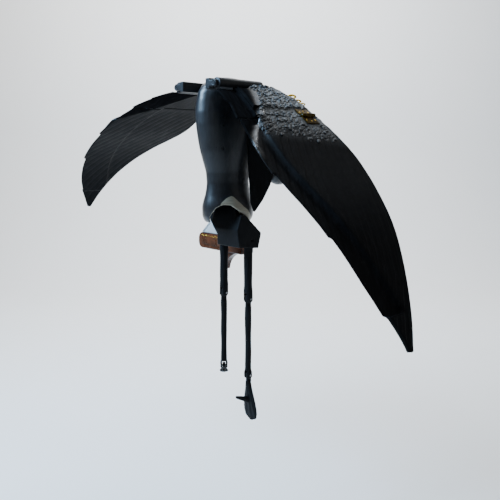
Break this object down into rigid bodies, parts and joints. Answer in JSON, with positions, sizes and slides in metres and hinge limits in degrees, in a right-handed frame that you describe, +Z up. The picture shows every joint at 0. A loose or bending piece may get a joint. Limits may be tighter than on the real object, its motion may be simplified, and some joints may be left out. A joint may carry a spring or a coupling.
{
  "type": "winged bird dummy",
  "caption": "Black lacquered wooden bird dummy seen upright: arched board wings on shoulder pins, hinged wing tips, flared rump, and two hanging jointed legs on a varnished arm",
  "frame": {"origin": "on the flat front face of the support arm, half way up it and 38 mm from its left end, where the arm is held", "axes": "+Z up, +Y the way the bird faces, +X its right side"},
  "size_m": [1.2244, 0.4911, 0.8688],
  "materials": {
    "black_lacquer": "glossy black lacquer over carved wood",
    "black_board": "satin black stain on wooden boards",
    "grey_feather": "rough grey carved feather relief",
    "bare_wood": "bare sawn wood",
    "brown_varnish": "polished brown varnish",
    "pale_paint": "pale grey-white paint",
    "brass": "yellow brass, slightly tarnished",
    "steel": "plain steel",
    "eye_glass": "dark glass"
  },
  "bodies": {
    "torso": {"back_shell": "black_lacquer", "belly_shell": "black_lacquer", "spine_post": "bare_wood", "shoulder_beam": "bare_wood", "neck": "black_lacquer", "neck_dowel": "bare_wood", "head": "black_lacquer", "eye_right": "eye_glass", "eye_left": "eye_glass", "beak": "brown_varnish", "rump": "black_lacquer", "flank_right": "black_board", "flank_left": "black_board", "support_arm": "brown_varnish", "hip_block": "black_board", "arm_screw_1": "steel", "arm_screw_2": "steel", "arm_corbel": "brown_varnish", "gusset_plate": "pale_paint", "shoulder_bracket_right": "black_lacquer", "shoulder_bracket_left": "black_lacquer", "shoulder_pin_right": "black_lacquer", "shoulder_pin_left": "black_lacquer", "hip_pin": "steel"},
    "inner_wing_body_right": {"shoulder_rail_right": "black_lacquer", "inner_wing_right": "black_board", "coverts_right": "grey_feather", "secondary_1_right": "black_board", "secondary_2_right": "black_board", "hinge_leaf_inner_right": "brass", "hinge_pin_right": "steel"},
    "outer_wing_body_right": {"outer_wing_right": "black_board", "primary_1_right": "black_board", "primary_2_right": "black_board", "primary_3_right": "black_board", "tip_feather_right": "black_board", "hinge_leaf_outer_right": "brass"},
    "thigh_body_right": {"thigh_right": "black_board", "knee_pin_right": "steel"},
    "shank_body_right": {"shank_right": "black_board", "ankle_pin_right": "steel"},
    "foot_body_right": {"foot_right": "black_board"},
    "inner_wing_body_left": {"shoulder_rail_left": "black_lacquer", "inner_wing_left": "black_board", "coverts_left": "grey_feather", "secondary_1_left": "black_board", "secondary_2_left": "black_board", "hinge_leaf_inner_left": "brass", "hinge_pin_left": "steel"},
    "outer_wing_body_left": {"outer_wing_left": "black_board", "primary_1_left": "black_board", "primary_2_left": "black_board", "primary_3_left": "black_board", "tip_feather_left": "black_board", "hinge_leaf_outer_left": "brass"},
    "thigh_body_left": {"thigh_left": "black_board", "knee_pin_left": "steel"},
    "shank_body_left": {"shank_left": "black_board", "ankle_pin_left": "steel"},
    "foot_body_left": {"foot_left": "black_board"}
  },
  "joints": [
    {"name": "shoulder_flap_right", "type": "hinge", "parent": "torso", "child": "inner_wing_body_right", "pos_m": [0.224, -0.1323, 0.412], "axis": [0, -1, 0], "range_deg": [-20, 38]},
    {"name": "wrist_lift_right", "type": "hinge", "parent": "inner_wing_body_right", "child": "outer_wing_body_right", "pos_m": [0.35827, -0.03172, 0.33767], "axis": [0, -1, 0], "range_deg": [0, 75]},
    {"name": "hip_swing_right", "type": "hinge", "parent": "torso", "child": "thigh_body_right", "pos_m": [0.198, -0.0753, 0.027], "axis": [1, 0, 0], "range_deg": [-14, 14]},
    {"name": "knee_bend_right", "type": "hinge", "parent": "thigh_body_right", "child": "shank_body_right", "pos_m": [0.198, -0.0753, -0.121], "axis": [1, 0, 0], "range_deg": [-5, 75]},
    {"name": "ankle_bend_right", "type": "hinge", "parent": "shank_body_right", "child": "foot_body_right", "pos_m": [0.198, -0.0753, -0.313], "axis": [1, 0, 0], "range_deg": [-5, 80]},
    {"name": "shoulder_flap_left", "type": "hinge", "parent": "torso", "child": "inner_wing_body_left", "pos_m": [0.08, -0.1323, 0.412], "axis": [0, 1, 0], "range_deg": [-38, 20]},
    {"name": "wrist_lift_left", "type": "hinge", "parent": "inner_wing_body_left", "child": "outer_wing_body_left", "pos_m": [-0.07159, -0.03172, 0.38808], "axis": [0, 1, 0], "range_deg": [0, 75]},
    {"name": "hip_swing_left", "type": "hinge", "parent": "torso", "child": "thigh_body_left", "pos_m": [0.106, -0.0753, 0.027], "axis": [1, 0, 0], "range_deg": [-14, 14]},
    {"name": "knee_bend_left", "type": "hinge", "parent": "thigh_body_left", "child": "shank_body_left", "pos_m": [0.106, -0.0753, -0.121], "axis": [1, 0, 0], "range_deg": [-5, 75]},
    {"name": "ankle_bend_left", "type": "hinge", "parent": "shank_body_left", "child": "foot_body_left", "pos_m": [0.106, -0.0753, -0.313], "axis": [0.6675, 0.7446, 0], "range_deg": [-40, 45]}
  ]
}
